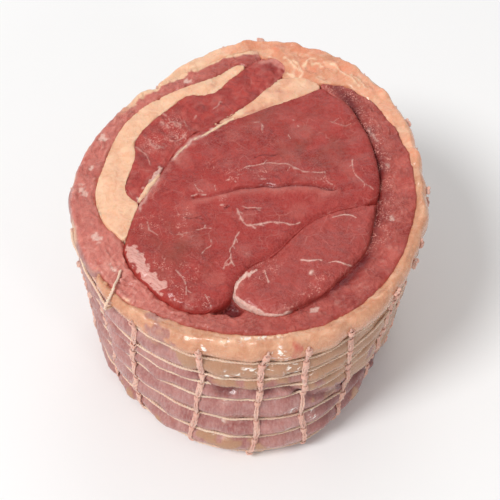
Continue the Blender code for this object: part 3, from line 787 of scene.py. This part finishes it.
# Outer fat: the cap and skin of fat outside the wrap. It is thick at the back right, a band at
# the front, and thins to a purple membrane with silvery streaks lower on the side. Places on the
# side are bearings with a share of the height, and each patch starts with its size.
FAT_EDGE = [
    (0, 0), (96, 0.03), (108, 0.12), (118, 0.26), (128, 0.5), (140, 0.8), (200, 0.95), (216, 0.93),
    (236, 0.89), (244, 0.87), (249, 0.85), (253, 0.79), (258, 0.7), (262, 0.68), (270, 0.68), (280, 0.71),
    (284, 0.63), (288, 0.57), (294, 0.53), (300, 0.5), (311, 0.42), (318, 0.34), (331, 0.19), (345, 0.05),
    (360, 0),
]
CAP_CURLS = [
    (0.5, [(15.5, 66), (18, 63.6), (19.8, 60.4), (22.6, 58)]),
    (0.5, [(19.8, 63.8), (22.2, 61), (23.4, 57.6), (21.5, 55.3)]),
    (0.5, [(24, 61.5), (26.4, 65.2), (30, 65)]), (0.7, [(27.5, 62.6), (30.5, 63), (32, 61)]),
    (0.4, [(9.6, 66.8), (12.5, 65.6)]), (0.6, [(17, 58.5), (19, 56), (20.5, 52.6)]),
    (0.4, [(36, 62), (42, 56), (47, 48)]), (0.4, [(50, 42), (53.5, 35), (56, 27)]),
    (0.4, [(44, 56), (50, 48)]),
]
CAP_FOLD = [(2.2, [(24, 60), (28.1, 61), (33.3, 61.6), (39.6, 58.6)])]
FRONT_STREAK = [(-9, -73.2), (-2.7, -72.8), (2.8, -72.4), (8.3, -72), (14.5, -70.6)]
# Moist lumps on the front, each a size, bearing and share: they bulge a little and carry painted highlights,
# small near-white glints.
WET_GLINT_PLACES = [
    (4, 279, 0.92), (4.2, 283, 0.8), (3.6, 287, 0.75), (3.2, 282, 0.44), (2.8, 270.5, 0.81),
    (1.4, 258, 0.95), (3.8, 282, 0.26), (3.2, 276, 0.84), (2.4, 290, 0.31), (2.6, 264, 0.79),
]
RIM_LIFTS = [
    (0, 0.9), (4, 0), (318, 0), (325, -0.9), (330, -1.7), (336, -1.7), (340, -0.8), (345, 0.8), (352, 1.2),
    (360, 0.9),
]
CREAM_PATCHES = [
    (4.5, 265, 0.15), (5, 258, 0.17), (5, 273, 0.13), (3.5, 296, 0.46), (3.5, 310, 0.16), (2.5, 240, 0.1),
    (3, 226, 0.12),
]
PURPLE_PATCHES = [
    (4, 284, 0.7), (2.2, 259, 0.73), (2.2, 268, 0.71), (5.6, 245.6, 0.9), (4.4, 244.2, 0.965),
    (3, 313, 0.55), (2, 291, 0.62), (6, 24, 0.34), (4, 60, 0.18), (3.5, 47, 0.58), (5, 88, 0.44),
    (3.5, 8, 0.72), (3, 70, 0.74),
]
RED_SPOT = (3.0, 283.5, 0.95)
DARK_PATCH = (5.4, 245.6, 0.9)

cover_finish, shader = new_finish("outer_fat_and_membrane", 0.34, 0.3, 2.2)
place = own_place()
broad = stretched(cloud(place, 12, 3.0, 0.8), 0.3, 0.7)
patches = stretched(cloud(place, 2.8, 4.0, 1.2), 0.35, 0.7)
streaks = stretched(cloud(own_place((1, 1, 0.16)), 1.5, 4.0, 0.5), 0.4, 0.72)
colour = glazed(mixed(broad, tint(194, 130, 98), tint(211, 152, 118)), patches, 0.5, tint(230, 178, 145))
# The dark mark holds painted shade in the fold under the fat and on the front right, and a darker purple
# patch.
for mark, shade in (("tan", tint(176, 134, 106)), ("membrane", membrane_colour()),
                    ("salmon", tint(232, 146, 112)), ("pale", tint(250, 206, 172)),
                    ("red", tint(196, 84, 70)), ("dark", tint(112, 48, 48))):
    colour = marked(colour, mark, shade)
# Painted highlights: near-white glints where the glint mark is painted; along the front streak the same
# flecks make a broken white streak.
glints = stretched(cloud(own_place((0.45, 0.45, 1)), 1.2, 3.0, 0.8), 0.55, 0.61)
colour = mixed(times(painted("wet"), glints), colour, tint(252, 244, 236))
folds = cloud(place, 1.6, 4.0, 1.5)
bumped(shader, plus(folds, times(streaks, 0.2)), 0.3)
set_all(shader, {"Base Color": colour, "Roughness": stretched(folds, 0.3, 0.7, 0.16, 0.36),
                 "Coat Weight": 0.35, "Coat Roughness": 0.1})

cover, spots, normals = fleshed("fat_cover", "outer_fat_cover", 1.1, 4, 1)
upward = eased(normals[:, 2], 0.3, 0.7)
outward = eased(outwardness(spots, normals), 0.1, 0.6)
radius = np.hypot(spots[:, 0], spots[:, 1])
bearing = bearings_of(spots)
share = spots[:, 2] / top_height(spots[:, 0], spots[:, 1])
edge = np.interp(bearing, *zip(*FAT_EDGE)) + 0.014 * ripples(spots, 12, 81) + 0.008 * ripples(spots, 3, 82)


def near_spots(places, seed):
    """How strongly each point of the cover lies in any of some patches."""
    uneven = 1 + 0.35 * ripples(spots, 4, seed)
    total = np.zeros(len(spots))
    for size, at_bearing, at_share in places:
        across = np.radians((bearing - at_bearing + 180) % 360 - 180) * radius
        gap = np.hypot(across, (share - at_share) * MIDDLE_HEIGHT) * uneven
        total = np.maximum(total, 1 - eased(gap, 0.7 * size * MM, size * MM))
    return total


membrane = (1 - eased(share, edge - 0.014, edge + 0.014)) * (1 - near_spots(CREAM_PATCHES, 83))
membrane = np.maximum(membrane, near_spots(PURPLE_PATCHES, 84) * 0.85)
cap = band(bearing, 2, 14, 92, 112)
curls = ripples(spots + 1.5 * MM * ripples(spots, 6, 86)[:, None], 8, 85)
wrinkles = 0.14 * (1 - eased(np.abs(curls), 0.04, 0.3))
wrinkles = np.maximum(wrinkles, drawn(spots, CAP_CURLS, 0.5, 99)) * upward
cap_fold = drawn(spots, CAP_FOLD, 1.0, 102) * upward
lumps = 0.55 * ripples(spots, 8, 87) + 0.2 * ripples(spots, 2.6, 88) + 0.4 * wrinkles - 0.5 * cap_fold
front_streak = away_from(spots, FRONT_STREAK)
streak_grain = eased(ripples(spots, 1.6, 94, (1, 1, 0.5)), -0.9, 0.3)
fold = bell((share - edge + 0.05) * MIDDLE_HEIGHT, 2.4) * eased(bearing, 246, 262)
wet = near_spots(WET_GLINT_PLACES, 97)
lift = np.interp(bearing, *zip(*RIM_LIFTS)) * eased(share, 0.35, 0.7) + puffed(spots)
lift += 0.4 * ripples(spots, 12, 89) - 1.5 * fold + 0.4 * (1 - membrane)
lift += 0.3 * wet * ripples(spots, 2.4, 98, (0.6, 0.6, 1))
spots += normals * (SWELL + outward * lift * MM)[:, None]
level_with_seam(spots, normals, WRAP_HEAD)
level_with_seam(spots, normals, INNER_HEAD)
spots[:, 2] += upward * (0.5 + 0.5 * cap) * lumps * MM
set_points(cover, spots)
tan = eased(0.95 + 0.03 * band(bearing, 290, 312, 335, 358) - share, 0.0, 0.11) * 0.88 * (1 - 0.5 * cap)
red = near_spots([RED_SPOT], 91) * (0.45 + 0.3 * ripples(spots, 2.2, 96))
red += 0.3 * membrane * (1 - eased(share, 0.12, 0.3)) * band(bearing, 286, 294, 316, 330)
salmon = cap * np.clip(0.55 + 0.2 * ripples(spots, 9, 93) + 0.45 * cap_fold - 0.5 * wrinkles, 0, 1)
# Painted dark: the membrane low on the front right, partly its deeper colour and partly painted shade on
# that side, and a darker purple patch at the front left.
shade = np.maximum(0.58 * membrane * band(bearing, 284, 298, 335, 345), 0.3 * near_spots([DARK_PATCH], 84))
# Painted shade in the fold under the lower edge of the fat.
shade += 0.85 * fold * eased(ripples(spots, 9, 92), -1.6, 0.2)
pale = cap * 0.9 * wrinkles + 0.3 * upward * eased(ripples(spots, 5, 90), 0.1, 1.0)
pale += 0.65 * band(bearing, 88, 104, 136, 145) * eased(normals[:, 2], 0.0, 0.3)
pale += 0.25 * cap * upward * (1 - eased(bearing, 40, 66))
paint(cover, membrane=membrane, wet=np.maximum(wet * outward, 0.8 * bell(front_streak, 0.9)), tan=tan,
      salmon=salmon * eased(share, 0.6, 0.95), red=red, dark=shade,
      pale=np.maximum(pale, streak_grain * bell(front_streak, 0.8)))
finish_piece(cover, cover_finish, "outer_fat", "fat_cover")

# Netting rings: elastic threads round the joint, two plies twisted together in pale cotton, each
# pressed into the fat that bulges above and below it.
TWIST_RADIUS = 0.28 * MM
PLY_RADIUS = 0.33 * MM
PLY_PITCH = 2.3 * MM
POINTS_A_TURN = 5.5
RING_STEP = 1.5
RING_PROUD = 0.38 * MM
RIM_RADIUS = 71 * MM
OUTSIDE = 0.12
outer_trees = [BVHTree.FromObject(piece, bpy.context.evaluated_depsgraph_get()) for piece in (wrap, cover)]


def way_out(bearing):
    return Vector((math.cos(math.radians(bearing)), math.sin(math.radians(bearing)), 0))


def surface_radius(bearing, height):
    """Radius of the finished side at a bearing and a height."""
    start = OUTSIDE * way_out(bearing) + Vector((0, 0, height))
    hits = [tree.ray_cast(start, -way_out(bearing)) for tree in outer_trees]
    gaps = [hit[3] for hit in hits if hit[0] is not None]
    return OUTSIDE - min(gaps) if gaps else 0.5 * OUTSIDE


def side_spot(bearing, share, proud):
    """A point over the finished side, at a bearing, a share of the height and a stand-off."""
    x = math.cos(math.radians(bearing))
    y = math.sin(math.radians(bearing))
    height = share * top_height(x * RIM_RADIUS, y * RIM_RADIUS)
    for _ in range(2):
        radius = surface_radius(bearing, height)
        height = share * top_height(x * radius, y * radius)
    radius += proud
    return Vector((x * radius, y * radius, height))


def strand_mesh(name, paths, radius, sides, closed):
    """Round threads along paths of points, as one mesh."""
    line = round_line(name, radius, sides // 2 - 2, not closed)
    for path in paths:
        run = line.splines.new("POLY")
        run.points.add(len(path) - 1)
        run.points.foreach_set("co", [value for spot in path for value in (*spot, 1.0)])
        run.use_cyclic_u = closed
    return as_mesh(line)


def unit(ways):
    return ways / np.linalg.norm(ways, axis=1)[:, None]


def even_run(path, spacing, closed):
    """A path's points again, evenly spaced, with the unit ways along it."""
    path = np.array([tuple(spot) for spot in path])
    if closed:
        path = np.vstack([path, path[:1]])
    steps = np.linalg.norm(np.diff(path, axis=0), axis=1)
    reach = np.concatenate([[0], np.cumsum(steps)])
    count = max(int(round(reach[-1] / spacing)), 3)
    places = np.linspace(0, reach[-1], count, endpoint=not closed)
    points = np.column_stack([np.interp(places, reach, path[:, axis]) for axis in range(3)])
    ahead = np.roll(points, -1, axis=0) - np.roll(points, 1, axis=0)
    if not closed:
        ahead[0] = points[1] - points[0]
        ahead[-1] = points[-1] - points[-2]
    return points, unit(ahead), places


def side_ways(points, along):
    """The ways outwards and across at points of a thread on the side."""
    out = unit(points * (1, 1, 0))
    return out, unit(np.cross(along, out))


def twisted(path, closed, twist_radius=TWIST_RADIUS, pitch=PLY_PITCH, plies=2):
    """The plies of a twisted thread along a path on the side of the joint."""
    points, along, places = even_run(path, pitch / POINTS_A_TURN, closed)
    if closed:
        length = places[-1] + places[1]
        pitch = length / round(length / pitch)
    out, across = side_ways(points, along)
    runs = []
    for ply in range(plies):
        angle = math.tau * (places / pitch + ply / plies)
        runs.append(points + twist_radius * (np.cos(angle)[:, None] * out + np.sin(angle)[:, None] * across))
    return runs


def thread_finish(name, shade, mid, light):
    """Undyed cotton that has soaked up some juice: pale, matt and a little fuzzy."""
    finish, shader = new_finish(name, 0.75, 0.15, 0.8)
    place = own_place()
    fuzz = stretched(cloud(place, 0.45, 3.0), 0.3, 0.7)
    colour = mixed(stretched(cloud(place, 7, 3.0), 0.35, 0.68), shade, mid)
    set_all(shader, {"Base Color": glazed(colour, fuzz, 0.6, light), "Coat Weight": 0.0,
                     "Sheen Weight": 0.25})
    bumped(shader, fuzz, 0.12)
    return finish


def taut(path, reach, closed):
    """The path with its hollows bridged, as a stretched thread bridges them."""
    path = np.array([tuple(spot) for spot in path])
    radii = np.hypot(path[:, 0], path[:, 1])
    shape = np.hanning(2 * reach + 3)[1:-1]
    shape /= shape.sum()
    ends = "wrap" if closed else "edge"
    pulled = radii
    for _ in range(2):
        spread = np.convolve(np.pad(pulled, reach, mode=ends), shape, mode="valid")
        pulled = 0.35 * pulled + 0.65 * np.maximum(pulled, spread)
    pulled = np.convolve(np.pad(pulled, 2, mode=ends), np.ones(5) / 5, mode="valid")
    path[:, :2] *= (np.maximum(pulled, radii - 0.1 * MM) / radii)[:, None]
    return path


ring_finish = thread_finish("elastic_cotton", tint(226, 182, 158), tint(240, 208, 184), tint(250, 230, 208))
draw = np.random.default_rng(23)
ring_slips = draw.uniform(-0.006, 0.006, (len(RINGS), len(CHAINS)))


def ring_level(number, bearing):
    """A ring's share of the height: it runs straight from chain to chain, and slips a little."""
    slip = np.interp(bearing % 360, sorted(chain % 360 for chain in CHAINS), ring_slips[number], period=360)
    return ring_share(number, bearing % 360) + slip


runs = []
for number in range(len(RINGS)):
    bearings = [step * RING_STEP for step in range(int(360 / RING_STEP))]
    path = [side_spot(bearing, ring_level(number, bearing), RING_PROUD) for bearing in bearings]
    runs += twisted(taut(path, 3, True), True)
rings = strand_mesh("net_rings", runs, PLY_RADIUS, 6, True)
fuzzed(rings, 111, 0.12)
finish_piece(rings, ring_finish, "net", "netting")

# Netting chains: columns of pinkish cotton from base to rim. Four yarns bow apart between two
# rings and change sides at each ring, where a few turns of yarn bind them to it in a knot.
YARN_RADIUS = 0.38 * MM
KNOT_RADIUS = 0.3 * MM
CHAIN_HALF_WIDTH = 0.74
CHAIN_FOOT = 0.03
STITCH = 0.62 * MM
YARN_SIDES = [1, -1, 0.36, -0.36]
KNOT_TURNS = 3
TOP_KNOT_TURNS = 4
KNOT_POINTS = 10
LONG_CHAIN = 273
chain_finish = thread_finish("chain_cotton", tint(212, 146, 130), tint(230, 180, 162), tint(247, 216, 198))


def knot(points, along, out, across, place, size, turns):
    """A few turns of yarn round a chain at one of its points."""
    angle = np.linspace(0, math.tau * turns, KNOT_POINTS * turns)
    rise = (angle / math.tau - turns / 2) * STITCH
    run = points[place] + rise[:, None] * along[place] + (size * np.cos(angle))[:, None] * across[place]
    return run + (0.62 * size * np.sin(angle) + 0.25 * MM)[:, None] * out[place]


runs = []
knots = []
draw = np.random.default_rng(17)
for number, chain in enumerate(CHAINS):
    top = 0.975 - 0.02 * draw.random() + (0.018 if chain == LONG_CHAIN else 0.0)
    crossings = sorted(ring_level(ring, chain) for ring in range(len(RINGS)))
    stops = [CHAIN_FOOT, *crossings, top]
    climb = [side_spot(chain + wander(number, level), level, 0.4 * MM)
             for level in np.linspace(CHAIN_FOOT, top, 70)]
    points, along, places = even_run(taut(climb, 3, False), STITCH, False)
    out, across = side_ways(points, along)
    out = np.cross(across, along)
    levels = points[:, 2] / top_height(points[:, 0], points[:, 1])
    steps = np.interp(levels, stops, range(len(stops)))
    bow = np.sin(steps * math.pi)
    bow = np.sign(bow) * np.abs(bow) ** 0.6
    angles = np.arange(len(points)) * STITCH * math.tau / MM
    for turn, side in enumerate(YARN_SIDES):
        width = CHAIN_HALF_WIDTH * side * (bow + 0.25) + 0.14 * np.sin(angles / 2.1 + turn * 1.7 + number)
        lift = 0.22 * np.cos(steps * math.pi + turn * 1.6) + 0.12 * np.sin(angles / 2.7 + turn)
        runs.append(points + MM * (width[:, None] * across + lift[:, None] * out))
    for level in crossings:
        place = int(np.argmin(np.abs(levels - level + 0.012)))
        knots.append(knot(points, along, out, across, place, draw.uniform(0.95, 1.25) * MM, KNOT_TURNS))
    place = int(np.argmin(np.abs(levels - top + 0.034)))
    knots.append(knot(points, along, out, across, place, 1.15 * MM, TOP_KNOT_TURNS))
for name, paths, radius, seed in (("net_chains", runs, YARN_RADIUS, 112),
                                  ("net_knots", knots, KNOT_RADIUS, 113)):
    yarn = strand_mesh(name, paths, radius, 6, False)
    fuzzed(yarn, seed)
    finish_piece(yarn, chain_finish, "net", "netting")

# Loose ends: a cut length of the net's string that hangs in a bend over the front left of the
# rim, and short frayed tufts and loops that stick out round the rim.
STRING_BEND = [
    (196, 0.96, 0.5), (200, 0.935, 1.1), (204.5, 0.908, 1.6), (209, 0.885, 0.8), (213, 0.882, 0.7),
    (217.5, 0.872, 0.8), (221, 0.87, 0.9), (223.6, 0.878, 1.1), (225.2, 0.897, 1.5), (225.9, 0.925, 2.2),
    (226.2, 0.955, 2.6),
]
STRING_TAIL = [
    (-50.4, -51.8, 1.9), (-49.8, -49.8, 1.1), (-49, -47.4, 1.1), (-48.5, -45, 1), (-48.2, -43.2, 0.9),
]
TUFTS = [
    (92, 0.965, 1.2), (85, 0.975, 1.5), (97, 0.965, 0.9), (357, 0.965, 1), (331, 0.93, 1.4),
    (318, 0.965, 1), (205, 0.62, 1), (201, 0.8, 1), (60, 0.965, 1), (25, 0.965, 1),
]
TUFT_LOOP = [(0.0, 0.0), (0.6, 0.7), (1.0, 0.3), (0.9, -0.5), (0.3, -0.7)]


def top_spot(x, y, proud):
    """A point over the finished cut face."""
    start = Vector((x, y, 0.2))
    hits = [tree.ray_cast(start, Vector((0, 0, -1))) for tree in outer_trees]
    height = max(hit[0].z for hit in hits if hit[0] is not None)
    return Vector((x, y, height + proud))


path = [side_spot(bearing, share, proud * MM) for bearing, share, proud in STRING_BEND]
path += [top_spot(x * MM, y * MM, proud * MM) for x, y, proud in STRING_TAIL]
plies = twisted(curved(path, 6), False, 0.34 * MM, 2.4 * MM)
loose_string = strand_mesh("loose_string", plies, 0.38 * MM, 8, False)
finish_piece(loose_string, ring_finish, "net")

draw = np.random.default_rng(29)
runs = []
for bearing, share, reach in TUFTS:
    out = way_out(bearing)
    side = Vector((-out.y, out.x, 0))
    for _ in range(3):
        start = side_spot(bearing + draw.uniform(-1.0, 1.0), share, 0.0)
        lean = side * draw.uniform(-0.8, 0.8)
        lean += Vector((0, 0, -0.8 if share < 0.95 else draw.uniform(0.2, 0.8)))
        width = draw.uniform(0.5, 0.9)
        ends = [start + ((out + lean) * far + side * width * across) * reach * MM
                for far, across in TUFT_LOOP]
        runs.append([tuple(spot) for spot in curved(ends, 4)])
tufts = strand_mesh("net_tufts", runs, 0.5 * MM, 6, False)
fuzzed(tufts, 114)
finish_piece(tufts, chain_finish, "net")

# Floor, light and camera: a plain white table under a large soft light from above the front
# left, with weaker ones from the front right and the back, seen from above the front.
LAMPS = (("key", (-1.3, -1.1, 2.1), 0.9, 46.0), ("fill", (1.3, -1.9, 1.2), 0.4, 4.5),
         ("back", (0.25, 1.9, 1.9), 1.6, 8.0))
LIT_SPOT = Vector((0, 0, 0.05))
VIEW_TARGET = Vector((1.0 * MM, -0.31 * MM, 45 * MM))
VIEW_ELEVATION = math.radians(49)
VIEW_DISTANCE = 0.5

bpy.ops.mesh.primitive_plane_add(size=6, location=(0, 0, 0))
table = bpy.context.object
table.name = "table"
table_finish = bpy.data.materials.new("white_table")
table_finish.use_nodes = True
shader = table_finish.node_tree.nodes["Principled BSDF"]
set_all(shader, {"Base Color": (0.92, 0.92, 0.92, 1), "Roughness": 0.9})
table.data.materials.append(table_finish)

sky = bpy.context.scene.world or bpy.data.worlds.new("soft_room")
bpy.context.scene.world = sky
sky.use_nodes = True
set_all(sky.node_tree.nodes["Background"], {"Color": (1.0, 0.99, 0.98, 1), "Strength": 0.5})
for name, spot, size, power in LAMPS:
    lamp = bpy.data.lights.new(name, "AREA")
    lamp.shape = "DISK"
    lamp.size = size
    lamp.energy = power
    holder = placed(name, lamp)
    holder.location = spot
    holder.rotation_euler = (LIT_SPOT - Vector(spot)).to_track_quat("-Z", "Y").to_euler()

view = bpy.data.cameras.new("view")
view.lens = 84.24
view.sensor_width = 36
camera = placed("view", view)
away = Vector((0, -math.cos(VIEW_ELEVATION), math.sin(VIEW_ELEVATION)))
camera.location = VIEW_TARGET + away * VIEW_DISTANCE
camera.rotation_euler = (-away).to_track_quat("-Z", "Y").to_euler()
bpy.context.scene.camera = camera
bpy.context.scene.view_settings.view_transform = "Standard"
